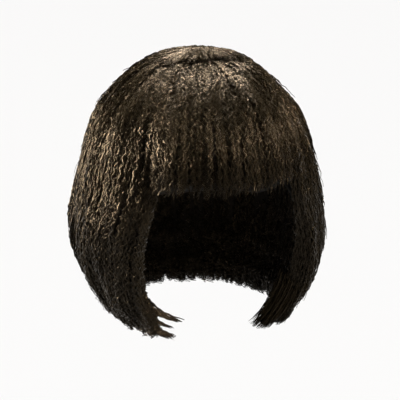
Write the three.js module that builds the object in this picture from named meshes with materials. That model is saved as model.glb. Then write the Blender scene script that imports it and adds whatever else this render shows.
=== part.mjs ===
// A chin-length bob wig with a full fringe: sections of hair sewn to a thin stretch cap.
// Millimetres, +Z up, the face towards -Y and the wearer's left towards +X.
// The origin is the point inside the cap where the top of the head bears.
import * as THREE from 'three';

// Driving dimensions
const capWall = 1.6;          // stretch net of the cap
const capBinding = 1.0;       // extra thickness of the bound edge, on the inside
const seam = 0.6;             // gap between neighbouring sections of hair
const capGap = 0.85;          // gap between the cap and the hair's roots
const backLift = 8;           // how much shorter the bob is at the nape than beside the chin
const liftFrom = 130;         // drop at which the back starts to be shorter
const crownReach = 37;        // radius of the round whorl section on top
const crownStep = 1.0;        // how far the whorl's edge stands above the sections below it
const sideEnds = 112;         // azimuth of the seam between side and back hair, in degrees
const lockDepth = 2.4;        // grooves between locks
const lockVariety = 1.6;      // height by which one lock may differ from the next
const hemVariety = 3;         // length by which one lock may differ from the next
const hemNotch = 2.5;         // how much shorter the hair is in the groove between two locks
const fringeCornerRise = 4;   // the fringe is cut a little higher at its corners
const tipTaper = 0.3;         // share of the wall that is left at the ends of the hair
const edgeTaper = 0.4;        // share of the wall that is left at the front edge of the side hair
const taperLength = 26;       // stretch over which the ends and the front edges thin out
const outerTaper = 0.6;       // share of the thinning that is taken off the outer face
const edgeTaperAbove = 0.02;  // the front edges start to thin this share of the way above the brow
const edgeTaperBelow = 0.08;  // and are thin this share of the way below it
const grooveRunIn = 0.3;      // share of the way down over which the grooves reach their depth

// The outline, level by level. drop is measured down from the top of the hair. side, front and back
// are the reach from the vertical axis, and part is the azimuth in degrees, from the front, where the
// side hair starts.
const levels = [
  { at: 'whorl', drop: 0, side: 0, front: 0, back: 0, part: 39 },
  { at: 'crown', drop: 7, side: 34, front: 35, back: 37, part: 39 },
  { at: 'top', drop: 25, side: 61, front: 66, back: 69, part: 39 },
  { at: 'temple', drop: 60, side: 88, front: 93, back: 98, part: 39 },
  { at: 'brow', drop: 112, side: 104, front: 107, back: 116, part: 40 },
  { at: 'cheek', drop: 160, side: 109, front: 113, back: 119, part: 48 },
  { at: 'jaw', drop: 202, side: 98, front: 109, back: 106, part: 50 },
  { at: 'chin', drop: 226, side: 83, front: 95, back: 89, part: 46 },
  { at: 'tip', drop: 239, side: 73, front: 84, back: 77, part: 43 },
];

// Thickness of the hair at the same levels
const walls = [
  { at: 'whorl', side: 13, front: 13, back: 13 },
  { at: 'crown', side: 13, front: 13, back: 14 },
  { at: 'top', side: 14, front: 12, back: 16 },
  { at: 'temple', side: 17, front: 11, back: 18 },
  { at: 'brow', side: 24, front: 10, back: 19 },
  { at: 'cheek', side: 28, front: 14, back: 24 },
  { at: 'jaw', side: 26, front: 15, back: 24 },
  { at: 'chin', side: 20, front: 14, back: 18 },
  { at: 'tip', side: 11, front: 10, back: 11 },
];

// Where the edge of the cap runs: over the forehead, down to the ear tabs, over the ears, round the nape
const capEdge = [
  { azimuth: 0, drop: 82 },
  { azimuth: 38, drop: 92 },
  { azimuth: 66, drop: 130 },
  { azimuth: 92, drop: 120 },
  { azimuth: 130, drop: 142 },
  { azimuth: 180, drop: 152 },
];

// The hair sections below the whorl. start and end name the edges, in degrees of azimuth, where
// 'part' follows the levels' own column and its sign says on which side. hem names the last level,
// and trim is how far above it the hair is cut.
const sections = [
  { name: 'fringe', start: '-part', end: '+part', hem: 'brow', trim: 6, locks: 9, seed: 3 },
  { name: 'side_hair_right', start: -sideEnds, end: '-part', hem: 'tip', trim: 0, locks: 8, seed: 11 },
  { name: 'side_hair_left', start: '+part', end: sideEnds, hem: 'tip', trim: 0, locks: 8, seed: 11 },
  { name: 'back_hair', start: sideEnds, end: 360 - sideEnds, hem: 'tip', trim: 0, locks: 14, seed: 29 },
];
const columnsPerLock = 3;     // a groove and the two shoulders of the lock
const rowsPerLevel = 1.75;
const crownLocks = 14;
const crownSeed = 7;
const crownGroove = 0.6;      // the whorl's grooves are this share of the other sections' depth
const crownRows = 3;
const capColumns = 40;
const capRows = 8;
const halvings = 20;          // steps in the search for a place on the outline

const hairLook = { color: 0x1d1916, roughness: 0.5, metalness: 0 };
const capLook = { color: 0x2b2623, roughness: 0.9, metalness: 0 };

const hairTop = walls[0].side + capGap + capWall;
const lastLevel = levels.length - 1;
const { clamp, degToRad, lerp, smoothstep } = THREE.MathUtils;

// A fixed pseudo-random number from 0 to 1 for each lock
const variety = (index, seed) => {
  const wave = Math.sin(index * 12.9898 + seed * 78.233) * 43758.5453;
  return wave - Math.floor(wave);
};

const levelIndex = (name) => levels.findIndex((row) => row.at === name);
const shareOf = (name) => levelIndex(name) / lastLevel;

// Reach of a level from the axis at an azimuth: two half ellipses that meet at the sides
function reachAt(row, azimuth) {
  const lengthways = Math.cos(azimuth) > 0 ? row.front : row.back;
  if (row.side === 0) return 0;
  return 1 / Math.hypot(Math.sin(azimuth) / row.side, Math.cos(azimuth) / lengthways);
}

// Height of a level, raised towards the nape below liftFrom
function heightAt(row, azimuth) {
  const share = clamp((row.drop - liftFrom) / (levels[lastLevel].drop - liftFrom), 0, 1);
  return hairTop - row.drop + backLift * share * (1 - Math.cos(azimuth)) / 2;
}

// A column of a table of levels, between rows, at a share of the way from whorl to tip
function between(table, column, share) {
  const place = clamp(share, 0, 1) * lastLevel;
  const row = Math.min(Math.floor(place), lastLevel - 1);
  return lerp(table[row][column], table[row + 1][column], place - row);
}

function wallAt(azimuth, share) {
  const lengthways = between(walls, Math.cos(azimuth) > 0 ? 'front' : 'back', share);
  return lerp(lengthways, between(walls, 'side', share), Math.sin(azimuth) ** 2);
}

// The outline from whorl to tip at one azimuth, in the upright plane through the axis
function meridian(azimuth) {
  const rows = levels.map((row) => new THREE.Vector2(reachAt(row, azimuth), heightAt(row, azimuth)));
  return new THREE.SplineCurve(rows);
}

// The share of a meridian from which on passed(point) holds, found by halving
function shareWhere(curve, passed) {
  let [before, after] = [0, 1];
  for (let i = 0; i < halvings; i += 1) {
    const middle = (before + after) / 2;
    if (passed(curve.getPoint(middle))) after = middle;
    else before = middle;
  }
  return after;
}
const shareAtDrop = (curve, drop) => shareWhere(curve, (point) => point.y <= hairTop - drop);

// The whorl's edge lies above the temples, where the outline widens all the way
const templeHeight = hairTop - levels[levelIndex('temple')].drop;
const shareAtReach = (curve, reach) =>
  shareWhere(curve, (point) => point.x >= reach || point.y <= templeHeight);

// A point at that azimuth and share, inset below the outline, moved sideways along its own level
function pointOn(curve, azimuth, share, inset, sideways = 0) {
  const place = curve.getPoint(clamp(share, 0, 1));
  const along = share > 0 ? curve.getTangent(clamp(share, 0, 1)) : new THREE.Vector2(1, 0);
  const reach = place.x + along.y * inset;
  const height = place.y - along.x * inset;
  return new THREE.Vector3(
    reach * Math.sin(azimuth) + sideways * Math.cos(azimuth),
    -reach * Math.cos(azimuth) + sideways * Math.sin(azimuth),
    height,
  );
}

// A closed wall between two grids of points, grid[column][row]. With ring, the columns close into a
// ring and row 0 is a single point, as on a dome.
function wallGeometry(outer, inner, ring = false) {
  const columns = outer.length;
  const rows = outer[0].length;
  const corners = [];
  const face = (a, b, c) => corners.push(a, b, c);
  const quad = (a, b, c, d) => {
    face(a, b, c);
    face(a, c, d);
  };
  const spans = ring ? columns : columns - 1;
  for (let i = 0; i < spans; i += 1) {
    const next = (i + 1) % columns;
    for (let j = 0; j < rows - 1; j += 1) {
      if (ring && j === 0) {
        face(outer[i][0], outer[i][1], outer[next][1]);
        face(inner[i][0], inner[next][1], inner[i][1]);
        continue;
      }
      quad(outer[i][j], outer[i][j + 1], outer[next][j + 1], outer[next][j]);
      quad(inner[i][j], inner[next][j], inner[next][j + 1], inner[i][j + 1]);
    }
    if (!ring) quad(outer[i][0], outer[next][0], inner[next][0], inner[i][0]);
    const hem = rows - 1;
    quad(outer[i][hem], inner[i][hem], inner[next][hem], outer[next][hem]);
  }
  for (let j = 0; !ring && j < rows - 1; j += 1) {
    const end = columns - 1;
    quad(outer[0][j], inner[0][j], inner[0][j + 1], outer[0][j + 1]);
    quad(outer[end][j], outer[end][j + 1], inner[end][j + 1], inner[end][j]);
  }
  return new THREE.BufferGeometry().setFromPoints(corners);
}

function named(name, geometry, look) {
  geometry.computeVertexNormals();
  const mesh = new THREE.Mesh(geometry, new THREE.MeshStandardMaterial(look));
  mesh.name = name;
  return mesh;
}

// Azimuth of a section's edge at a share of the way down
function edgeAzimuth(edge, share) {
  if (typeof edge === 'number') return degToRad(edge);
  const sign = edge.startsWith('-') ? -1 : 1;
  return sign * degToRad(between(levels, 'part', share));
}

// Depth of the groove pattern at a column: 0 on the shoulders of a lock, more in the grooves
function grooveAt(column, locks, seed) {
  const lock = Math.min(Math.floor(column / columnsPerLock), locks - 1);
  const inGroove = column % columnsPerLock === 0;
  return inGroove ? lockDepth : lockVariety * variety(lock, seed);
}

// How much shorter the hair is at a column than its section's hem
function shorterAt(column, locks, seed) {
  const lock = Math.min(Math.floor(column / columnsPerLock), locks - 1);
  const inGroove = column % columnsPerLock === 0;
  return hemVariety * variety(lock, seed + 1) + (inGroove ? hemNotch : 0);
}

// One section of hair: a wall with raised locks, an uneven hem and thinned ends
function hairSection({ name, start, end, hem, trim, locks, seed }) {
  const columns = locks * columnsPerLock;
  const hemShare = shareOf(hem);
  const rows = Math.round(rowsPerLevel * lastLevel * hemShare);
  const mirrored = name.endsWith('right');
  const outer = [];
  const inner = [];
  for (let i = 0; i <= columns; i += 1) {
    const across = i / columns;
    const lockColumn = mirrored ? columns - i : i;
    const sideways = i === 0 ? seam / 2 : i === columns ? -seam / 2 : 0;
    const outerColumn = [];
    const innerColumn = [];
    for (let j = 0; j <= rows; j += 1) {
      const down = j / rows;
      const nearly = hemShare * down;
      const nominal = lerp(edgeAzimuth(start, nearly), edgeAzimuth(end, nearly), across);
      const curve = meridian(nominal);
      const length = curve.getLength();
      const rise = name === 'fringe' ? fringeCornerRise * (2 * across - 1) ** 2 : 0;
      const hemAt = hemShare - (trim + rise + shorterAt(lockColumn, locks, seed)) / length;
      const rootAt = shareAtReach(curve, crownReach + seam);
      const share = lerp(rootAt, hemAt, down);
      const azimuth = lerp(edgeAzimuth(start, share), edgeAzimuth(end, share), across);
      const line = meridian(azimuth);
      const wall = wallAt(azimuth, share);
      const thin = thinning(line, azimuth, share, hemAt, start, end);
      const groove = grooveAt(lockColumn, locks, seed) * smoothstep(share, rootAt, rootAt + grooveRunIn);
      const lost = wall * (1 - thin);
      outerColumn.push(pointOn(line, azimuth, share, groove + lost * outerTaper, sideways));
      innerColumn.push(pointOn(line, azimuth, share, wall - lost * (1 - outerTaper), sideways));
    }
    outer.push(outerColumn);
    inner.push(innerColumn);
  }
  return named(name, wallGeometry(outer, inner), hairLook);
}

// Share of the wall that is left near the ends of the hair and near a free front edge
function thinning(curve, azimuth, share, hemAt, start, end) {
  const length = curve.getLength();
  const toHem = (hemAt - share) * length;
  const ends = lerp(tipTaper, 1, smoothstep(toHem, 0, taperLength));
  if (typeof start === typeof end) return ends;
  const front = typeof start === 'string' ? edgeAzimuth(start, share) : edgeAzimuth(end, share);
  const toEdge = Math.abs(azimuth - front) * curve.getPoint(share).x;
  const brow = shareOf('brow');
  const below = smoothstep(share, brow - edgeTaperAbove, brow + edgeTaperBelow);
  const edge = lerp(edgeTaper, 1, smoothstep(toEdge, 0, taperLength));
  return Math.min(ends, lerp(1, edge, below));
}

// The round whorl on top, whose edge stands a little above the sections
function crownHair() {
  const columns = crownLocks * columnsPerLock;
  const outer = [];
  const inner = [];
  for (let i = 0; i < columns; i += 1) {
    const azimuth = degToRad(360 * i / columns);
    const curve = meridian(azimuth);
    const rim = shareAtReach(curve, crownReach);
    const outerColumn = [];
    const innerColumn = [];
    for (let j = 0; j <= crownRows; j += 1) {
      const share = rim * j / crownRows;
      const groove = grooveAt(i, crownLocks, crownSeed) * crownGroove;
      outerColumn.push(pointOn(curve, azimuth, share, (groove - crownStep) * j / crownRows));
      innerColumn.push(pointOn(curve, azimuth, share, wallAt(azimuth, share)));
    }
    outer.push(outerColumn);
    inner.push(innerColumn);
  }
  return named('crown_hair', wallGeometry(outer, inner, true), hairLook);
}

// Drop of the cap's edge at an azimuth, between the rows of capEdge
function capDrop(azimuth) {
  const turn = Math.abs(THREE.MathUtils.radToDeg(Math.atan2(Math.sin(azimuth), Math.cos(azimuth))));
  const after = Math.max(1, capEdge.findIndex((row) => row.azimuth >= turn));
  const [a, b] = [capEdge[after - 1], capEdge[after]];
  return lerp(a.drop, b.drop, smoothstep(turn, a.azimuth, b.azimuth));
}

// The stretch cap under the hair, with a bound edge
function wigCap() {
  const outer = [];
  const inner = [];
  for (let i = 0; i < capColumns; i += 1) {
    const azimuth = degToRad(360 * i / capColumns);
    const curve = meridian(azimuth);
    const rim = shareAtDrop(curve, capDrop(azimuth));
    const outerColumn = [];
    const innerColumn = [];
    for (let j = 0; j <= capRows; j += 1) {
      const share = rim * j / capRows;
      const depth = wallAt(azimuth, share) + capGap;
      const binding = j === capRows ? capBinding : 0;
      outerColumn.push(pointOn(curve, azimuth, share, depth));
      innerColumn.push(pointOn(curve, azimuth, share, depth + capWall + binding));
    }
    outer.push(outerColumn);
    inner.push(innerColumn);
  }
  return named('wig_cap', wallGeometry(outer, inner, true), capLook);
}

const wig = new THREE.Group();
wig.add(wigCap(), crownHair(), ...sections.map(hairSection));

export default wig;
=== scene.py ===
import math
from functools import partial

import bmesh
import bpy
import numpy as np
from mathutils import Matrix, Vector


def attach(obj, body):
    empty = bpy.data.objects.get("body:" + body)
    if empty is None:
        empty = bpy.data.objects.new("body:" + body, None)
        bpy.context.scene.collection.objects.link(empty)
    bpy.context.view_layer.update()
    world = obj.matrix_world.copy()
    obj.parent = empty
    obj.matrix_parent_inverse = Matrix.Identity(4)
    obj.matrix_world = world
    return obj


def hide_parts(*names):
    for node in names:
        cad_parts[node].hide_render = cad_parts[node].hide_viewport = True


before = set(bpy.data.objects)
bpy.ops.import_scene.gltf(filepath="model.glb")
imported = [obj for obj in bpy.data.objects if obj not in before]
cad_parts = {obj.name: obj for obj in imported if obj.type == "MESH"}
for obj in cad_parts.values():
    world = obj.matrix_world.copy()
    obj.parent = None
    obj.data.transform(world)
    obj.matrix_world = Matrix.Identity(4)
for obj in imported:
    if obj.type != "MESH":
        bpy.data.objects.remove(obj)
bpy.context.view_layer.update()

print("frame loaded with", len(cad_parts), "nodes")

tiny = 1e-9  # keeps a division off zero

# Outline of the bob by level, from the whorl down to the tips of the hair, in metres.
# drop is below the top of the hair, side, front and back are the reach from the upright axis,
# part is the azimuth in degrees where the side hair starts.
bobForm = {
    "drop": (0, .007, .025, .060, .112, .160, .202, .226, .239),
    "side": (0, .034, .061, .088, .104, .109, .098, .083, .073),
    "front": (0, .035, .066, .093, .107, .113, .109, .095, .084),
    "back": (0, .037, .069, .098, .116, .119, .106, .089, .077),
    "part": (39, 39, 39, 39, 40, 48, 50, 46, 43),
    "top": .01545,       # height of the whorl above the origin
    "napeLift": .008,    # the back is cut this much shorter than the front
    "liftFrom": .130,    # drop from which that comes in
    "crownReach": .037,  # radius at which the hair below the whorl starts
    "poleReach": .020,   # nearer to the axis than this, the way in turns upright
    "slopeStep": .002,   # share of the way down over which the slope is taken
    "domeLevels": 3,     # the search for a radius stays within so many levels
    "halvings": 24,
}

# Thickness of the hair at the same levels
hairWall = {
    "side": (.013, .013, .014, .017, .024, .028, .026, .020, .011),
    "front": (.013, .013, .012, .011, .010, .014, .015, .014, .010),
    "back": (.013, .014, .016, .018, .019, .024, .024, .018, .011),
}
lastLevel = len(bobForm["drop"]) - 1


def fadeIn(value, start, span):
    return np.clip((value - start) / span, 0, 1)


def fadeOut(value, end, span):
    return np.clip((end - value) / span, 0, 1)


def columnAt(column, share):
    return np.interp(np.asarray(share) * lastLevel, np.arange(lastLevel + 1), column)


def roundWig(azimuth, front, side, back):
    # a front, side and back value, eased round the wig
    lengthways = np.where(np.cos(azimuth) > 0, front, back)
    return lengthways + (side - lengthways) * np.sin(azimuth) ** 2


def outlineAt(azimuth, share):
    # smooth curve through the levels: reach and height in the upright plane at that azimuth
    azimuth, share = np.broadcast_arrays(np.asarray(azimuth, float), np.asarray(share, float))
    lowest = bobForm["drop"][-1]
    reaches, heights = [], []
    for drop, side, front, back in zip(*(bobForm[key] for key in ("drop", "side", "front", "back"))):
        lengthways = np.where(np.cos(azimuth) > 0, front, back)
        girth = np.hypot(np.sin(azimuth) * lengthways, np.cos(azimuth) * side)
        reaches.append(side * lengthways / np.maximum(girth, tiny))
        lift = fadeIn(drop, bobForm["liftFrom"], lowest - bobForm["liftFrom"])
        heights.append(bobForm["top"] - drop + bobForm["napeLift"] * lift * (1 - np.cos(azimuth)) / 2)
    rows = np.stack([np.stack(reaches), np.stack(heights)])
    place = share * lastLevel
    low = np.clip(np.floor(place).astype(int), 0, lastLevel - 1)
    part = place - low

    def pick(step):
        return np.take_along_axis(rows, np.clip(low + step, 0, lastLevel)[None, None], 1)[:, 0]

    before, here, there, after = pick(-1), pick(0), pick(1), pick(2)
    leave, arrive = (there - before) / 2, (after - here) / 2
    cubic = 2 * here - 2 * there + leave + arrive
    square = 3 * there - 3 * here - 2 * leave - arrive
    return ((cubic * part + square) * part + leave) * part + here


def surfaceAt(azimuth, share, inset):
    # point of the outline moved in at right angles, straight down at the pole so that it stays closed
    step = bobForm["slopeStep"]
    slope = outlineAt(azimuth, share + step) - outlineAt(azimuth, np.maximum(share - step, 0))
    slope = slope / np.maximum(np.hypot(*slope), tiny)
    reach, height = outlineAt(azimuth, share)
    lean = slope[1] * np.clip(reach / bobForm["poleReach"], 0, 1)
    rise = np.where(reach < bobForm["poleReach"], np.sqrt(1 - lean ** 2), slope[0])
    reach = reach + lean * inset
    height = height - rise * inset
    return np.stack([reach * np.sin(azimuth), -reach * np.cos(azimuth), height], -1)


def wallAt(azimuth, share):
    return roundWig(azimuth, *(columnAt(hairWall[key], share) for key in ("front", "side", "back")))


# Broad locks that make the skin of the hair uneven: waves round the wig, each with its own sway
# on the way down, and a slow swell along the hair. A fade is where it starts or ends, and over how long,
# as shares of the way down.
lockForm = {
    "waves": (13, 21, 34), "height": (.0010, .0009, .0006), "sway": (2.6, -3.4, 2.0), "swayRate": 7,
    "swell": .0008, "swellRate": 28, "swellDrift": 2.5, "swellTurns": 5,
    "grow": 6,           # the locks reach their full height a sixth of the way down
    "inset": .0022,      # mean level of the skin inside the outline, which the loose strands reach
    "rootStep": .0030,   # in front, the roots below the whorl lie this much lower than its edge
    "rootFade": (.19, .06), "aheadSlope": 1.8, "aheadShift": .3,
    "roundSpan": 21,     # degrees over which the side hair turns in at its front edge
    "roundIn": (.30, .14), "roundOut": (.97, .22),
}


def reliefAt(azimuth, share):
    swell = lockForm["swellRate"] * share + lockForm["swellDrift"] * np.sin(lockForm["swellTurns"] * azimuth)
    relief = lockForm["swell"] * np.sin(swell)
    for waves, sway, height in zip(lockForm["waves"], lockForm["sway"], lockForm["height"]):
        bend = sway * np.sin(lockForm["swayRate"] * share + waves)
        relief = relief + height * np.sin(waves * azimuth + bend)
    return lockForm["inset"] + relief * np.clip(share * lockForm["grow"], 0, 1)


def skinInset(section, azimuth, share):
    # how far the skin of a section lies inside the outline
    step = 0 if section["edges"] is None else lockForm["rootStep"]
    ahead = np.clip(lockForm["aheadSlope"] * np.cos(azimuth) + lockForm["aheadShift"], 0, 1)
    inset = reliefAt(azimuth, share) + step * ahead * fadeOut(share, *lockForm["rootFade"])
    if "frontRound" in section:  # below the fringe, the front edge turns in
        past = np.degrees(np.abs(azimuth)) - columnAt(bobForm["part"], share)
        near = np.clip(1 - past / lockForm["roundSpan"], 0, 1) ** 2
        near = near * fadeIn(share, *lockForm["roundIn"]) * fadeOut(share, *lockForm["roundOut"])
        inset = inset + section["frontRound"] * wallAt(azimuth, share) * near
    if "hemRound" in section:  # the ends turn under
        depth, span = section["hemRound"]
        near = np.clip(1 - (section["hem"] - share) / span, 0, 1) ** 2
        inset = inset + depth * wallAt(azimuth, share) * near
    return inset


def shareAtReach(azimuth, reach):
    # share of the way down at which the dome is that wide
    low, high = np.zeros_like(azimuth), np.full_like(azimuth, bobForm["domeLevels"] / lastLevel)
    for _ in range(bobForm["halvings"]):
        middle = (low + high) / 2
        narrow = outlineAt(azimuth, middle)[0] < reach
        low, high = np.where(narrow, middle, low), np.where(narrow, high, middle)
    return high


def edgeAzimuth(edge, share):
    # an edge is a number of degrees, or a sign that follows the part of the side hair
    if edge in ("+", "-"):
        return np.radians(columnAt(bobForm["part"], share)) * (1 if edge == "+" else -1)
    return np.full_like(np.asarray(share, float), math.radians(edge))


def unitGrid(columns, rows, span=(0, 1)):
    return np.meshgrid(np.linspace(*span, columns + 1), np.linspace(0, 1, rows + 1), indexing="ij")


def sectionGrid(section, size, span=(0, 1), spill=(0, 0)):
    # azimuth and share of each point of a section, columns by rows, spilling over its edges by some degrees
    across, down = unitGrid(size["columns"], size["rows"], span)
    if section["edges"] is None:  # the round whorl
        azimuth = 2 * math.pi * across
        return across, down, azimuth, shareAtReach(azimuth, roundWig(azimuth, *section["reach"])) * down
    start, end = section["edges"]
    over = np.radians(spill[0] * (across - 1) + spill[1] * across)
    nearly = section["hem"] * down  # first guess, for edges that follow the part
    azimuth = edgeAzimuth(start, nearly) * (1 - across) + edgeAzimuth(end, nearly) * across + over
    root = shareAtReach(azimuth, bobForm["crownReach"] - section["tuck"])
    rise = np.interp(across, (0, 1), section.get("cornerRise", (0, 0))) * (2 * across - 1) ** 2
    share = root + (section["hem"] - rise - root) * down
    azimuth = edgeAzimuth(start, share) * (1 - across) + edgeAzimuth(end, share) * across + over
    return across, down, azimuth, share


def gridQuads(columns, rows):
    # numbers of the points in a grid, and the quads between them
    corner = np.arange(columns * rows).reshape(columns, rows)
    quads = np.stack([corner[:-1, :-1], corner[:-1, 1:], corner[1:, 1:], corner[1:, :-1]], -1)
    return corner, quads.reshape(-1, 4)


def mappedMesh(name, points, quads, uv, mapName):
    mesh = bpy.data.meshes.new(name)
    mesh.from_pydata(points.reshape(-1, 3).tolist(), [], quads.tolist())
    layer = mesh.uv_layers.new(name=mapName)
    layer.data.foreach_set("uv", uv.reshape(-1, 2)[quads.ravel()].astype(np.float32).ravel())
    return mesh


def sheetMesh(name, points, across, down, **ways):
    # a sheet of quads that the trees below grow on, with the way in and the way sideways at each point
    quads = gridQuads(*points.shape[:2])[1]
    mesh = mappedMesh(name, points, quads, np.stack([across, down], -1), "sheetUv")
    for label, vectors in ways.items():
        attribute = mesh.attributes.new(label, "FLOAT_VECTOR", "POINT")
        attribute.data.foreach_set("vector", vectors.astype(np.float32).ravel())
    return mesh


guideSize = {"columns": 56, "rows": 64}


def guideSheet(section):
    # outer skin of a section, whose way in ends at the inner skin
    spill = section.get("spill", (0, 0))
    across, down, azimuth, share = sectionGrid(section, guideSize, spill=spill)
    outer = surfaceAt(azimuth, share, skinInset(section, azimuth, share))
    inner = surfaceAt(azimuth, share, wallAt(azimuth, share))
    sideways = np.stack([np.cos(azimuth), np.sin(azimuth), np.zeros_like(azimuth)], -1)
    return sheetMesh(section["name"] + "Guide", outer, across, down, inward=inner - outer, sideways=sideways)


curlSize = {"columns": 4, "rows": 24, "taper": .5}


def curlSheet(curl):
    # a narrow sheet along a curve through three points, for a loose curl at the ends of the hair
    across, down = unitGrid(curlSize["columns"], curlSize["rows"])
    start, bend, end = (np.array(point) for point in curl["path"])
    t = down[..., None]
    middle = (1 - t) ** 2 * start + 2 * t * (1 - t) * bend + t ** 2 * end
    along = (1 - t) * (bend - start) + t * (end - bend)
    inward = middle * (-1, -1, 0)
    inward = inward / np.linalg.norm(inward, axis=-1, keepdims=True) * curl["depth"]
    sideways = np.cross(along, inward)
    sideways = sideways / np.linalg.norm(sideways, axis=-1, keepdims=True)
    width = (across - .5) * curl["width"] * (1 - curlSize["taper"] * down)
    points = middle + sideways * width[..., None]
    return sheetMesh("curlGuide", points, across, down, inward=inward, sideways=sideways)


# Small helpers for node trees
def plug(tree, target, value):
    if isinstance(value, bpy.types.NodeSocket):
        tree.links.new(value, target)
    else:
        target.default_value = value


def addNode(tree, kind, settings=None, **sockets):
    node = tree.nodes.new(kind)
    for key, value in (settings or {}).items():
        setattr(node, key, value)
    for key, value in sockets.items():
        plug(tree, node.inputs[key.replace("_", " ")], value)
    return node


def maths(tree, operation, *values):
    node = addNode(tree, "ShaderNodeMath", {"operation": operation})
    for socket, value in zip(node.inputs, values):
        plug(tree, socket, value)
    return node.outputs[0]


def vectorMaths(tree, operation, first, second=None, scale=None):
    node = addNode(tree, "ShaderNodeVectorMath", {"operation": operation})
    for key, value in ((0, first), (1, second), ("Scale", scale)):
        if value is not None:
            plug(tree, node.inputs[key], value)
    return node.outputs[0]


def blendOf(tree, share, first, second):
    # first at 0, second at 1
    return maths(tree, "ADD", first, maths(tree, "MULTIPLY", share, maths(tree, "SUBTRACT", second, first)))


def spotAt(tree, x, y, z=0.0):
    return addNode(tree, "ShaderNodeCombineXYZ", X=x, Y=y, Z=z).outputs[0]


def storedAs(tree, label, kind="FLOAT"):
    return addNode(tree, "GeometryNodeInputNamedAttribute", {"data_type": kind}, Name=label).outputs[0]


def storeAs(tree, geometry, label, value, kind="FLOAT", domain="POINT"):
    return addNode(tree, "GeometryNodeStoreNamedAttribute", {"data_type": kind, "domain": domain},
                   Geometry=geometry, Name=label, Value=value).outputs[0]


def onSheet(tree, sheet, spot, value):
    # a vector of the sheet, read at a spot of its map
    sheetUv = storedAs(tree, "sheetUv", "FLOAT_VECTOR")
    return addNode(tree, "GeometryNodeSampleUVSurface", {"data_type": "FLOAT_VECTOR"},
                   Mesh=sheet, Value=value, UV_Map=sheetUv, Sample_UV=spot).outputs[0]


def startTree(name, inputs):
    # a tree that grows something on a sheet, with named inputs for its sizes
    tree = bpy.data.node_groups.new(name, "GeometryNodeTree")
    tree.is_modifier = True
    tree.interface.new_socket("Sheet", in_out="INPUT", socket_type="NodeSocketGeometry")
    for label, start in inputs.items():
        kind = "NodeSocketInt" if isinstance(start, int) else "NodeSocketFloat"
        tree.interface.new_socket(label, in_out="INPUT", socket_type=kind).default_value = start
    tree.interface.new_socket("Material", in_out="INPUT", socket_type="NodeSocketMaterial")
    tree.interface.new_socket("Grown", in_out="OUTPUT", socket_type="NodeSocketGeometry")
    return tree, tree.nodes.new("NodeGroupInput").outputs


def endTree(tree, grown, material):
    smooth = addNode(tree, "GeometryNodeSetShadeSmooth", Geometry=grown)
    real = addNode(tree, "GeometryNodeRealizeInstances", Geometry=smooth.outputs[0])
    coloured = addNode(tree, "GeometryNodeSetMaterial", Geometry=real.outputs[0], Material=material)
    tree.links.new(coloured.outputs[0], tree.nodes.new("NodeGroupOutput").inputs[0])
    print(tree.name, "tree has", len(tree.nodes), "nodes")
    return tree


# Strands on a sheet. The look of most strands comes first, then what is the same for all of them.
strandLook = {
    "Strands": 100, "Points": 20, "Seed": 1, "Radius": .00095, "Flatness": .45,
    "Across From": 0.0, "Across To": 1.0, "Depth From": 0.0, "Depth To": .1,
    "Root From": 0.0, "Root To": .86, "Length From": .17, "Length To": .25, "Hem From": .96, "Hem To": 1.0,
    "Locks": 22, "Lock Pull": .3, "Lock Length": .02,
    "Crimp": .0023, "Wander": .03, "Tip Lift": .0030, "Swirl": 0.0,
}
strandForm = {
    "mapLimits": (.001, .999),    # strands keep off the rim of the sheet's map
    "lockMiddle": (.3, .7),       # where in its own width a lock draws together
    "pullPower": 1.5,
    "driftWaves": 2.5, "driftStep": 3.17, "driftDepth": .12, "driftTurn": 1.5,
    "depthLimits": (-.04, 1.02),  # from just proud of the outer skin to just past the inner one
    "kinkStep": 97.0,             # more than the points of any strand, so that each kink has its own number
    "sway": (.1, 1.1), "rise": (-.28, .28),
    "lift": (-.5, 1.0), "liftPower": 3.0,
    "turn": (-.6, .6),
    "tint": (.02, .94), "alongMap": (.01, .99), "aroundStep": .02,
    "sides": 3, "girth": (.6, 1.6), "taperFrom": .7, "tip": .3,
}
# Each random draw adds its own number to the seed
drawSeed = {
    "across": 1, "lockMiddle": 2, "drift": 3, "root": 4, "hem": 5, "lockLength": 6, "depth": 7, "lift": 8,
    "turn": 9, "tint": 10, "sway": 11, "girth": 12, "length": 13, "rise": 14,
}


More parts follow.
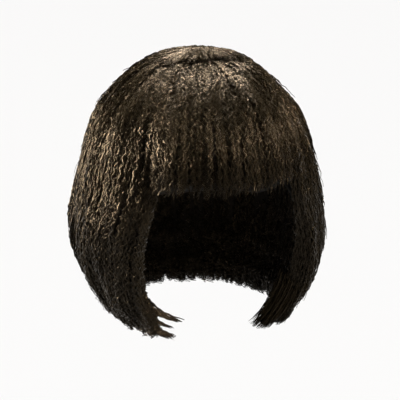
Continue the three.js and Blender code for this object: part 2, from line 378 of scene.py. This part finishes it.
def makeStrandTree():
    tree, given = startTree("hairStrands", strandLook)
    plus, minus, times, over = (partial(maths, tree, operation)
                                for operation in ("ADD", "SUBTRACT", "MULTIPLY", "DIVIDE"))

    # straight lines, one for each strand, that are laid on the sheet below
    line = addNode(tree, "GeometryNodeCurvePrimitiveLine")
    counted = addNode(tree, "GeometryNodeResampleCurve", Curve=line.outputs[0], Count=given["Points"])
    copies = addNode(tree, "GeometryNodeDuplicateElements", {"domain": "SPLINE"},
                     Geometry=counted.outputs[0], Amount=given["Strands"])
    strand = copies.outputs["Duplicate Index"]
    step = addNode(tree, "GeometryNodeSplineParameter").outputs["Index"]
    down = over(step, minus(given["Points"], 1.0))

    def anyOf(limits, draw, of=strand):
        # a random value for each number in of
        node = addNode(tree, "FunctionNodeRandomValue", {"data_type": "FLOAT"},
                       ID=of, Seed=plus(given["Seed"], drawSeed[draw]))
        for socket, limit in zip(node.inputs[2:4], limits):
            plug(tree, socket, limit)
        return node.outputs[1]

    def anyGiven(label, draw):
        return anyOf((given[label + " From"], given[label + " To"]), draw)

    def within(value, low, high):
        return maths(tree, "MINIMUM", maths(tree, "MAXIMUM", value, low), high)

    # a smooth random wobble along each strand, values from -0.5 to 0.5
    place = spotAt(tree, times(down, strandForm["driftWaves"]), times(strand, strandForm["driftStep"]),
                   plus(given["Seed"], drawSeed["drift"]))
    noise = addNode(tree, "ShaderNodeTexNoise", Vector=place, Scale=1.0, Detail=1.0)
    drift = addNode(tree, "ShaderNodeSeparateXYZ",
                    Vector=vectorMaths(tree, "SUBTRACT", noise.outputs["Color"], (.5, .5, .5))).outputs

    # place across the sheet: a strand is drawn towards the middle of its lock on the way down
    where = anyGiven("Across", "across")
    lock = maths(tree, "FLOOR", times(where, given["Locks"]))
    middle = over(plus(lock, anyOf(strandForm["lockMiddle"], "lockMiddle", lock)), given["Locks"])
    pull = times(given["Lock Pull"], maths(tree, "POWER", down, strandForm["pullPower"]))
    across = blendOf(tree, pull, where, middle)
    across = plus(across, times(drift[0], given["Wander"]))
    across = plus(across, times(given["Swirl"], minus(1.0, down)))
    across = within(across, *strandForm["mapLimits"])

    # place down the sheet: roots and tips are uneven, and so is the length of the locks
    root = anyGiven("Root", "root")
    hem = minus(anyGiven("Hem", "hem"), times(given["Lock Length"], anyOf((0.0, 1.0), "lockLength", lock)))
    tip = maths(tree, "MINIMUM", plus(root, anyGiven("Length", "length")), hem)
    along = within(blendOf(tree, down, root, tip), *strandForm["mapLimits"])
    spot = spotAt(tree, across, along)
    skin, inward, sideways = (onSheet(tree, given["Sheet"], spot, value) for value in (
        addNode(tree, "GeometryNodeInputPosition").outputs[0],
        storedAs(tree, "inward", "FLOAT_VECTOR"),
        storedAs(tree, "sideways", "FLOAT_VECTOR"),
    ))
    outward = vectorMaths(tree, "SCALE", vectorMaths(tree, "NORMALIZE", inward), scale=-1.0)

    # depth in the hair, and the crimp that makes the fibre rough to look at
    deep = plus(anyGiven("Depth", "depth"), times(drift[1], strandForm["driftDepth"]))
    deep = within(deep, *strandForm["depthLimits"])
    full = maths(tree, "MINIMUM", over(minus(tip, root), given["Length From"]), 1.0)
    crimp = times(given["Crimp"], full)  # less where the hem cuts a strand short
    kink = plus(times(strand, strandForm["kinkStep"]), step)
    zigzag = minus(1.0, times(maths(tree, "MODULO", step, 2.0), 2.0))
    sway = times(crimp, times(zigzag, anyOf(strandForm["sway"], "sway", kink)))
    rise = times(crimp, anyOf(strandForm["rise"], "rise", kink))
    lift = times(given["Tip Lift"], maths(tree, "POWER", down, strandForm["liftPower"]))
    lift = times(lift, anyOf(strandForm["lift"], "lift"))
    place = skin
    for way, amount in ((inward, deep), (outward, plus(rise, lift)), (sideways, sway)):
        place = vectorMaths(tree, "ADD", place, vectorMaths(tree, "SCALE", way, scale=amount))
    laid = addNode(tree, "GeometryNodeSetPosition", Geometry=copies.outputs[0], Position=place)
    facing = addNode(tree, "GeometryNodeSetCurveNormal", {"mode": "FREE"},
                     Curve=laid.outputs[0], Normal=outward)
    turn = plus(anyOf(strandForm["turn"], "turn"), times(drift[2], strandForm["driftTurn"]))
    turned = addNode(tree, "GeometryNodeSetCurveTilt", Curve=facing.outputs[0], Tilt=turn)

    # each strand carries its own tint and its way down to the finished mesh
    tinted = storeAs(tree, turned.outputs[0], "tint", anyOf(strandForm["tint"], "tint"))
    measured = storeAs(tree, tinted, "along", blendOf(tree, along, *strandForm["alongMap"]))
    loop = addNode(tree, "GeometryNodeCurvePrimitiveCircle", Resolution=strandForm["sides"], Radius=1.0)
    flat = addNode(tree, "GeometryNodeTransform", Geometry=loop.outputs[0],
                   Scale=spotAt(tree, given["Flatness"], 1.0, 1.0))
    ringed = storeAs(tree, flat.outputs[0], "around", addNode(tree, "GeometryNodeInputIndex").outputs[0])
    thin = addNode(tree, "ShaderNodeMapRange", Value=down, From_Min=strandForm["taperFrom"], From_Max=1.0,
                   To_Min=1.0, To_Max=strandForm["tip"])
    thick = times(times(given["Radius"], thin.outputs[0]), anyOf(strandForm["girth"], "girth"))
    tube = addNode(tree, "GeometryNodeCurveToMesh", Curve=measured, Profile_Curve=ringed, Scale=thick,
                   Fill_Caps=True)

    # a map for the fibre's finish: tint and place round the strand across, way down the strand along
    width = plus(storedAs(tree, "tint"), times(storedAs(tree, "around"), strandForm["aroundStep"]))
    mapped = storeAs(tree, tube.outputs[0], "OFBake", spotAt(tree, width, storedAs(tree, "along")),
                     "FLOAT2", "CORNER")
    return endTree(tree, mapped, given["Material"])


strandTree = makeStrandTree()


# Small helpers for finishes
def startMaterial(name, **sockets):
    # what is the same all over the surface is set on the shader itself
    material = bpy.data.materials.new(name)
    material.use_nodes = True
    shader = material.node_tree.nodes["Principled BSDF"]
    for key, value in sockets.items():
        shader.inputs[key.replace("_", " ")].default_value = value
    return material, material.node_tree, shader


def hairNoise(tree, finish):
    # noise on the piece's own map, scaled across and along the hair
    uv = addNode(tree, "ShaderNodeUVMap", {"uv_map": "OFBake"}).outputs[0]
    stretch = addNode(tree, "ShaderNodeMapping", Vector=uv, Scale=(*finish["scale"], 1))
    return addNode(tree, "ShaderNodeTexNoise", {"noise_dimensions": "2D"}, Vector=stretch.outputs[0],
                   Scale=1.0, Detail=finish["detail"], Roughness=finish["grain"]).outputs["Fac"]


def shadeBy(tree, shader, factor, positions, colours):
    # base colour from a ramp of two colours
    ramp = addNode(tree, "ShaderNodeValToRGB", Fac=factor)
    for element, position, colour in zip(ramp.color_ramp.elements, positions, colours):
        element.position = position
        element.color = (*colour, 1)
    tree.links.new(ramp.outputs["Color"], shader.inputs["Base Color"])


def bumpBy(tree, shader, height, bump, invert=False):
    strength, distance = bump
    node = addNode(tree, "ShaderNodeBump", {"invert": invert},
                   Height=height, Strength=strength, Distance=distance)
    tree.links.new(node.outputs[0], shader.inputs["Normal"])


# Fibre of the strands: near black with a warm glint, each strand a little different. The lighter, glossier
# flecks of the base colour are partly painted glints and partly tone that differs at random.
# bump is a strength and a distance.
fibreFinish = {
    "darkest": (.0030, .0024, .0012), "lightest": (.0082, .0068, .0044), "shadeFrom": (.36, .74),
    "sheenColour": (1.0, .77, .54), "sheenLevel": .185,
    "scale": (60, 110), "detail": 2.0, "grain": .6,
    "roughness": (.20, .32), "roughFrom": (.3, .7), "bump": (.2, .0008),
}


def makeFibre():
    material, tree, shader = startMaterial("crimpedFibre", Specular_Tint=(*fibreFinish["sheenColour"], 1),
                                           Specular_IOR_Level=fibreFinish["sheenLevel"])
    toneAndGlintFleck = hairNoise(tree, fibreFinish)
    # lighter flecks in the base colour: partly painted glints, partly random tone of the fibre
    shadeBy(tree, shader, toneAndGlintFleck, fibreFinish["shadeFrom"], (fibreFinish["darkest"], fibreFinish["lightest"]))
    low, high = fibreFinish["roughness"]
    start, end = fibreFinish["roughFrom"]
    rough = addNode(tree, "ShaderNodeMapRange", Value=toneAndGlintFleck, From_Min=start, From_Max=end,
                    To_Min=high, To_Max=low)
    tree.links.new(rough.outputs[0], shader.inputs["Roughness"])
    bumpBy(tree, shader, toneAndGlintFleck, fibreFinish["bump"])
    return material


# Bed of packed hair under the loose strands: the same black, brushed one way
bedFinish = {
    "darkest": (.0030, .0022, .0013), "lightest": (.009, .0065, .004), "shadeFrom": (.35, .7),
    "sheenLevel": .1, "roughness": .8, "scale": (260, 9), "detail": 3.0, "grain": .65, "bump": (.6, .001),
}


def makeBed():
    material, tree, shader = startMaterial("packedHair", Roughness=bedFinish["roughness"],
                                           Specular_IOR_Level=bedFinish["sheenLevel"])
    streak = hairNoise(tree, bedFinish)
    shadeBy(tree, shader, streak, bedFinish["shadeFrom"], (bedFinish["darkest"], bedFinish["lightest"]))
    bumpBy(tree, shader, streak, bedFinish["bump"])
    return material


fibre = makeFibre()
packedHair = makeBed()
print("hair finishes made")


def addObject(name, data):
    item = bpy.data.objects.new(name, data)
    bpy.context.scene.collection.objects.link(item)
    return item


def grownMesh(sheet, tree, wanted):
    # what a tree grows on a sheet, as a plain mesh
    holder = addObject("holder", sheet)
    modifier = holder.modifiers.new("grow", "NODES")
    modifier.node_group = tree
    for item in tree.interface.items_tree:
        if item.in_out == "INPUT" and item.name in wanted:
            modifier[item.identifier] = wanted[item.name]
    mesh = bpy.data.meshes.new_from_object(holder.evaluated_get(bpy.context.evaluated_depsgraph_get()))
    holder.modifiers.remove(modifier)
    bpy.data.objects.remove(holder)
    bpy.data.meshes.remove(sheet)
    return mesh


def strandMesh(sheet, layer, seed):
    return grownMesh(sheet, strandTree, {**strandLook, **layer, "Seed": seed, "Material": fibre})


def joined(name, meshes):
    pieces = [addObject(name if not i else f"{name}.{i}", mesh) for i, mesh in enumerate(meshes)]
    if len(pieces) > 1:
        with bpy.context.temp_override(active_object=pieces[0], selected_editable_objects=pieces):
            bpy.ops.object.join()
    return pieces[0]


def handOver(piece, node):
    # the piece stands for a node of the plain model
    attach(piece, "root")
    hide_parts(node)
    print(piece.name, "has", sum(len(face.vertices) - 2 for face in piece.data.polygons), "triangles")


# Map of a wall: the outer skin takes the left part, the inner skin starts right of the middle
wallMap = {"width": .48, "innerFrom": .52, "merge": 2e-6}


def wallMesh(name, outer, inner, closed):
    # closed wall between two grids of points
    columns, rows = outer.shape[:2]
    across, down = unitGrid(columns - 1, rows - 1, (0, wallMap["width"]))
    uv = np.stack([np.stack([across + start, down], -1) for start in (0, wallMap["innerFrom"])])
    corner, skin = gridQuads(columns, rows)
    count = columns * rows
    quads = [skin, count + skin[:, ::-1]]
    for rim in (corner[:, -1], *(() if closed else (corner[::-1, 0], corner[0], corner[-1][::-1]))):
        quads.append(np.stack([rim[:-1], rim[:-1] + count, rim[1:] + count, rim[1:]], -1))
    mesh = mappedMesh(name, np.stack([outer, inner]), np.concatenate(quads), uv, "OFBake")
    shape = bmesh.new()
    shape.from_mesh(mesh)
    bmesh.ops.remove_doubles(shape, verts=shape.verts, dist=wallMap["merge"])  # seam and pole
    bmesh.ops.recalc_face_normals(shape, faces=shape.faces)
    for face in shape.faces:
        face.smooth = True
    shape.to_mesh(mesh)
    shape.free()
    return mesh


# Bed of a section: how far it lies below the skin, its ripple, and how it thins towards its edges and ends
bedForm = {
    "columns": 48, "rows": 44,
    "inset": .0028, "ripple": .0010, "waves": (13, 21, 34), "sway": 1.5, "swayRate": 5,
    "edge": .06, "tip": .12, "slim": .38, "short": .05, "innerGap": .0012, "thinnest": .0008,
}


def bedMesh(section):
    # packed hair a little inside the strands, with a rippled outer skin and thin edges
    span = section.get("bedSpan", (0, 1))  # keeps back from a free edge
    across, down, azimuth, share = sectionGrid(section, bedForm, span)
    closed = section["edges"] is None
    share = share * (1 - section.get("bedShort", bedForm["short"]) * down)
    wall = wallAt(azimuth, share)
    toEdge = np.minimum(across - span[0], span[1] - across) / bedForm["edge"]
    toEdge = np.ones_like(across) if closed else toEdge
    slim = 1 - np.clip(np.minimum(toEdge, (1 - down) / bedForm["tip"]), 0, 1)
    slim = slim * wall * bedForm["slim"]
    ripple = 0
    for waves in bedForm["waves"]:
        sway = bedForm["sway"] * np.sin(down * bedForm["swayRate"] + waves)
        ripple = ripple + np.sin(across * 2 * math.pi * waves + section["seed"] + sway)
    ripple = ripple / len(bedForm["waves"]) * np.clip(share * lockForm["grow"], 0, 1)
    outerInset = bedForm["inset"] + (ripple + 1) / 2 * bedForm["ripple"] + slim
    outerInset = outerInset + skinInset(section, azimuth, share)
    innerInset = np.maximum(wall - bedForm["innerGap"] - slim, outerInset + bedForm["thinnest"])
    mesh = wallMesh(section["name"] + "Bed", surfaceAt(azimuth, share, outerInset),
                    surfaceAt(azimuth, share, innerInset), closed)
    mesh.materials.append(packedHair)
    return mesh


# Loose curls at the ends of the side hair
curlLook = {
    "Points": 10, "Radius": .0006, "Depth From": 0.0, "Depth To": 1.0, "Root To": .3, "Length From": .6,
    "Length To": .9, "Locks": 1, "Lock Pull": .5, "Lock Length": 0.0, "Crimp": .0004, "Wander": .3,
}
seedsPerSection, firstCurlSeed = 10, 5


def dressSection(section):
    seed = section["seed"] * seedsPerSection
    bed = addObject(section["name"] + "Bed", bedMesh(section))
    grown = [strandMesh(guideSheet(section), layer, seed + i) for i, layer in enumerate(section["layers"])]
    for i, curl in enumerate(section.get("curls", ())):
        layer = {**curlLook, "Strands": curl["strands"], "Hem From": curl["hem"]}
        grown.append(strandMesh(curlSheet(curl), layer, seed + firstCurlSeed + i))
    for piece in (bed, joined(section["name"] + "Strands", grown)):
        handOver(piece, section["node"])


# Fringe, combed forward from the whorl and cut level
fringe = {
    "name": "fringe", "node": "fringe", "edges": ("-", "+"), "seed": 5, "hem": .493, "tuck": .010,
    "cornerRise": (.002, .013), "bedShort": .10, "spill": (2, 2), "hemRound": (.30, .075),
    "layers": (
        {"Strands": 620, "Depth From": 0.0, "Depth To": .3, "Root To": .68,
         "Length From": .4, "Length To": .6, "Hem From": .95, "Lock Length": .04, "Locks": 13},
        {"Strands": 320, "Points": 12, "Depth From": .3, "Depth To": 1.0, "Root From": .55, "Root To": .75,
         "Length From": .6, "Length To": .7, "Hem From": .92},
    ),
}
dressSection(fringe)

# Side hair, from the part at the fringe to the back hair: outer, inner and filling strands
sideForm = {"hem": 1.0, "tuck": .010, "hemRound": (.35, .14)}
sideLayers = (
    {"Strands": 1100, "Depth From": 0.0, "Depth To": .14, "Lock Pull": .15},
    {"Strands": 260, "Points": 16, "Depth From": .9, "Depth To": 1.02, "Root From": .35, "Root To": .8},
    {"Strands": 130, "Points": 12, "Depth From": .12, "Depth To": .9, "Root From": .72, "Root To": .85},
)
frontEdge = {  # strands that close the thickness of the hair at its front edge
    "Strands": 220, "Points": 16, "Depth From": .2, "Depth To": .98, "Root From": .3, "Root To": .8,
    "Length From": .2, "Length To": .3,
}
sideRight = {
    "name": "sideRight", "node": "side_hair_right", "edges": (-112, "-"), "seed": 17, "bedSpan": (0, .955),
    "spill": (3, 0), "frontRound": .50,
    "layers": (*sideLayers, {**frontEdge, "Across From": .95, "Across To": 1.0}),
    "curls": (
        {"strands": 34, "width": .007, "depth": .005, "hem": .86,
         "path": ((-.067, -.048, -.178), (-.063, -.052, -.200), (-.029, -.054, -.208))},
        {"strands": 14, "width": .004, "depth": .004, "hem": .86,
         "path": ((-.068, -.050, -.184), (-.060, -.053, -.208), (-.037, -.054, -.213))},
        {"strands": 40, "width": .010, "depth": .006, "hem": .86,
         "path": ((-.070, -.052, -.196), (-.061, -.056, -.214), (-.038, -.058, -.220))},
    ),
}
sideLeft = {
    "name": "sideLeft", "node": "side_hair_left", "edges": ("+", 112), "seed": 11, "bedSpan": (.045, 1),
    "spill": (0, 3), "frontRound": .2,
    "layers": (*sideLayers, {**frontEdge, "Across From": 0.0, "Across To": .05}),
    "curls": (
        {"strands": 80, "width": .013, "depth": .014, "hem": .93,
         "path": ((.074, -.056, -.180), (.062, -.058, -.206), (.041, -.060, -.220))},
        {"strands": 80, "width": .013, "depth": .013, "hem": .93,
         "path": ((.071, -.054, -.176), (.060, -.057, -.204), (.038, -.059, -.2195))},
        {"strands": 80, "width": .013, "depth": .012, "hem": .93,
         "path": ((.068, -.052, -.172), (.058, -.056, -.201), (.035, -.058, -.218))},
    ),
}
for side in (sideRight, sideLeft):
    dressSection({**sideForm, **side})

# Back hair down to the nape, in two halves
backForm = {
    "node": "back_hair", "hem": 1.0, "tuck": .010, "spill": (3, 3), "hemRound": (.35, .14),
    "layers": (
        {"Strands": 1150, "Depth From": 0.0, "Depth To": .14},
        {"Strands": 300, "Points": 16, "Depth From": .9, "Depth To": 1.02, "Root From": .5, "Root To": .85},
        {"Strands": 120, "Points": 12, "Depth From": .12, "Depth To": .9, "Root From": .75, "Root To": .87},
    ),
}
for half in (
    {"name": "backLeft", "edges": (112, 180), "seed": 29},
    {"name": "backRight", "edges": (180, 248), "seed": 31},
):
    dressSection({**backForm, **half})

# Round whorl on top, whose short ends fall over the sections below. Reach to the front, side and back.
crown = {
    "name": "crown", "node": "crown_hair", "edges": None, "reach": (.031, .046, .036), "seed": 7,
    "layers": (
        {"Strands": 420, "Points": 16, "Depth From": -.04, "Depth To": .1, "Root From": .04, "Root To": .5,
         "Length From": .5, "Length To": .9, "Hem From": .90, "Locks": 40, "Lock Pull": .3, "Crimp": .0011,
         "Swirl": .05, "Tip Lift": .0012},
    ),
}
dressSection(crown)

# Stretch cap under the hair: net sewn in rows, with a bound edge. The edge's drop by azimuth in degrees.
cap = {
    "node": "wig_cap", "azimuth": (0, 38, 66, 92, 130, 180), "drop": (.082, .092, .130, .120, .142, .152),
    "gap": .00085, "thick": .0016, "columns": 120, "rows": 30,
    "wayIn": .01,  # depth over which the way in is taken
    "seams": {"Rows": 9, "Points": 150, "Height": .0032, "Thickness": .0011, "From": .12, "To": .90},
    "binding": {"Rows": 1, "Points": 180, "Height": .0075, "Thickness": .0034, "From": .985, "To": .985},
    "bandSides": 8,
}


def makeRowTree():
    tree, given = startTree("capRows", cap["seams"])
    minus, over = partial(maths, tree, "SUBTRACT"), partial(maths, tree, "DIVIDE")
    ring = addNode(tree, "GeometryNodeCurvePrimitiveCircle", Resolution=given["Points"], Radius=1.0)
    copies = addNode(tree, "GeometryNodeDuplicateElements", {"domain": "SPLINE"},
                     Geometry=ring.outputs[0], Amount=given["Rows"])
    step = addNode(tree, "GeometryNodeSplineParameter").outputs["Index"]
    last = maths(tree, "MAXIMUM", minus(given["Rows"], 1.0), 1.0)
    down = blendOf(tree, over(copies.outputs["Duplicate Index"], last), given["From"], given["To"])
    spot = spotAt(tree, over(step, given["Points"]), down)
    skin, inward = (onSheet(tree, given["Sheet"], spot, value) for value in (
        addNode(tree, "GeometryNodeInputPosition").outputs[0],
        storedAs(tree, "inward", "FLOAT_VECTOR"),
    ))
    laid = addNode(tree, "GeometryNodeSetPosition", Geometry=copies.outputs[0], Position=skin)
    facing = addNode(tree, "GeometryNodeSetCurveNormal", {"mode": "FREE"},
                     Curve=laid.outputs[0], Normal=inward)
    loop = addNode(tree, "GeometryNodeCurvePrimitiveCircle", Resolution=cap["bandSides"], Radius=.5)
    profile = addNode(tree, "GeometryNodeTransform", Geometry=loop.outputs[0],
                      Scale=spotAt(tree, given["Thickness"], given["Height"], 1.0))
    band = addNode(tree, "GeometryNodeCurveToMesh", Curve=facing.outputs[0],
                   Profile_Curve=profile.outputs[0])
    return endTree(tree, band.outputs[0], given["Material"])


netFinish = {
    "thread": (.020, .018, .0155), "hole": (.004, .0036, .0032), "shadeFrom": (.08, .25),
    "mesh": 700.0, "roughness": .8, "sheenLevel": .15, "bump": (.5, .0008),
}


def makeNet():
    # fine net in the object's own coordinates
    material, tree, shader = startMaterial("stretchNet", Roughness=netFinish["roughness"],
                                           Specular_IOR_Level=netFinish["sheenLevel"])
    place = addNode(tree, "ShaderNodeTexCoord").outputs["Object"]
    weave = addNode(tree, "ShaderNodeTexVoronoi", {"feature": "DISTANCE_TO_EDGE"}, Vector=place,
                    Scale=netFinish["mesh"]).outputs["Distance"]
    shadeBy(tree, shader, weave, netFinish["shadeFrom"], (netFinish["thread"], netFinish["hole"]))
    bumpBy(tree, shader, weave, netFinish["bump"], invert=True)
    return material


tapeFinish = {
    # the darker colour is painted shade in the grooves between the ribs
    "grooveShade": (.007, .006, .0055), "raised": (.020, .018, .0155), "shadeFrom": (0, 1),
    "ribs": 75.0, "wobble": 1.5, "roughness": .55, "sheenLevel": .2, "bump": (.4, .0006),
}


def makeTape():
    # ribbed elastic of the sewn rows and the bound edge, in the object's own coordinates, with painted shade
    # in the grooves between the ribs
    material, tree, shader = startMaterial("elasticTape", Roughness=tapeFinish["roughness"],
                                           Specular_IOR_Level=tapeFinish["sheenLevel"])
    place = addNode(tree, "ShaderNodeTexCoord").outputs["Object"]
    ribs = addNode(tree, "ShaderNodeTexWave", {"bands_direction": "Z"}, Vector=place,
                   Scale=tapeFinish["ribs"], Distortion=tapeFinish["wobble"], Detail=1.0).outputs["Fac"]
    shadeBy(tree, shader, ribs, tapeFinish["shadeFrom"], (tapeFinish["grooveShade"], tapeFinish["raised"]))
    bumpBy(tree, shader, ribs, tapeFinish["bump"])
    return material


def capRim(azimuth):
    # share of the way down at which the cap ends, eased between the rows of its edge
    turn = np.degrees(np.abs(np.arctan2(np.sin(azimuth), np.cos(azimuth))))
    whole = np.arange(len(cap["azimuth"]))
    place = np.interp(turn, cap["azimuth"], whole)
    part = place - np.floor(place)
    drop = np.interp(np.floor(place) + part * part * (3 - 2 * part), whole, cap["drop"])
    return np.interp(drop, bobForm["drop"], np.linspace(0, 1, lastLevel + 1))


def dressCap():
    across, down = unitGrid(cap["columns"], cap["rows"])
    azimuth = 2 * math.pi * across
    share = capRim(azimuth) * down
    depth = wallAt(azimuth, share) + cap["gap"]
    outer, inner = (surfaceAt(azimuth, share, depth + more) for more in (0, cap["thick"]))
    inward = surfaceAt(azimuth, share, depth + cap["wayIn"]) - outer
    shell = wallMesh("capNet", outer, inner, True)
    shell.materials.append(makeNet())
    rowTree, tape = makeRowTree(), makeTape()
    rows = [grownMesh(sheetMesh("capSheet", inner, across, down, inward=inward), rowTree,
                      {**cap[label], "Material": tape}) for label in ("seams", "binding")]
    handOver(joined("capNet", [shell, *rows]), cap["node"])


dressCap()

floorLook = {"height": -1.75, "half": 80.0, "colour": (.86, .855, .85), "roughness": .8}


def makeFloor():
    half, height = floorLook["half"], floorLook["height"]
    mesh = bpy.data.meshes.new("floor")
    corners = [(x * half, y * half, height) for x, y in ((-1, -1), (1, -1), (1, 1), (-1, 1))]
    mesh.from_pydata(corners, [], [(0, 1, 2, 3)])
    paper, *_ = startMaterial("palePaper", Base_Color=(*floorLook["colour"], 1),
                              Roughness=floorLook["roughness"])
    mesh.materials.append(paper)
    floor = addObject("floor", mesh)


makeFloor()

# Soft studio light: an even light from above, and warm lamps round the wig for the glints.
# A sun's size is its angle, a spot's is its radius in metres.
lampColumns = ("name", "kind", "colour", "azimuth", "elevation", "power", "size", "distance")
lampRows = (
    ("overhead", "SUN", "white", 165, 80, 3.65, .26, 3),
    ("topLamp", "SPOT", "warm", 140, 76, 330, .07, 1.6),
    ("leftLamp", "SPOT", "warm", -140, 70, 165, .12, 1.6),
    ("backLamp", "SPOT", "warm", 172, 50, 60, .10, 1.6),
    ("sideLamp", "SPOT", "amber", -120, 8, 1460, .45, 1.6),
    ("fillLamp", "SPOT", "warm", -6, 4, 110, .6, 1.9),
    ("frontLamp", "SPOT", "warm", 42, 29, 300, .10, 1.9),
)
lampColour = {"white": (1, 1, 1), "warm": (1.0, .86, .68), "amber": (1.0, .82, .58)}
lampAim = Vector((0, 0, -.09))
spotForm = {"cone": 17, "blend": .3}  # cone in degrees


def wayTo(azimuth, elevation):
    a, e = math.radians(azimuth), math.radians(elevation)
    return Vector((math.sin(a) * math.cos(e), -math.cos(a) * math.cos(e), math.sin(e)))


def makeLamp(lamp):
    data = bpy.data.lights.new(lamp["name"], lamp["kind"])
    data.energy = lamp["power"]
    data.color = lampColour[lamp["colour"]]
    if lamp["kind"] == "SUN":
        data.angle = lamp["size"]
    else:
        data.shadow_soft_size = lamp["size"]
        data.spot_size = math.radians(spotForm["cone"])
        data.spot_blend = spotForm["blend"]
    way = wayTo(lamp["azimuth"], lamp["elevation"])
    light = addObject(lamp["name"], data)
    light.location = lampAim + way * lamp["distance"]
    light.rotation_mode = "QUATERNION"
    light.rotation_quaternion = way.to_track_quat("Z", "Y")


for row in lampRows:
    makeLamp(dict(zip(lampColumns, row)))
print(len(lampRows), "lamps set")

# The room is dim, apart from what the camera sees behind the floor
room = {"dim": .1, "backdrop": (.95, .945, .94)}


def makeRoom():
    world = bpy.data.worlds.new("studio")
    world.use_nodes = True
    tree = world.node_tree
    dim = tree.nodes["Background"]
    dim.inputs["Strength"].default_value = room["dim"]
    pale = addNode(tree, "ShaderNodeBackground", Color=(*room["backdrop"], 1))
    seen = addNode(tree, "ShaderNodeLightPath").outputs["Is Camera Ray"]
    either = addNode(tree, "ShaderNodeMixShader", Fac=seen)
    tree.links.new(dim.outputs[0], either.inputs[1])
    tree.links.new(pale.outputs[0], either.inputs[2])
    tree.links.new(either.outputs[0], tree.nodes["World Output"].inputs["Surface"])
    bpy.context.scene.world = world
    bpy.context.scene.view_settings.view_transform = "Standard"


makeRoom()

viewpoint = {
    "azimuth": -18, "elevation": 14, "distance": 1.5, "aim": (0, 0, -.105), "sensor": 36,
    "aimPixel": (198, 185), "pixel": .00085, "frame": 400,  # size of a pixel at the aim, in a square frame
}


def makeCamera():
    data = bpy.data.cameras.new("camera")
    data.sensor_width = viewpoint["sensor"]
    data.lens = data.sensor_width * viewpoint["distance"] / (viewpoint["pixel"] * viewpoint["frame"])
    data.dof.use_dof = False
    way = wayTo(viewpoint["azimuth"], viewpoint["elevation"])
    turn = way.to_track_quat("Z", "Y")
    middle = viewpoint["frame"] / 2
    x, y = viewpoint["aimPixel"]
    offset = Vector((middle - x, y - middle, 0)) * viewpoint["pixel"]
    camera = addObject("camera", data)
    camera.location = Vector(viewpoint["aim"]) + turn @ offset + way * viewpoint["distance"]
    camera.rotation_mode = "QUATERNION"
    camera.rotation_quaternion = turn
    bpy.context.scene.camera = camera
    print("camera set, lens", round(data.lens, 1), "mm")


makeCamera()
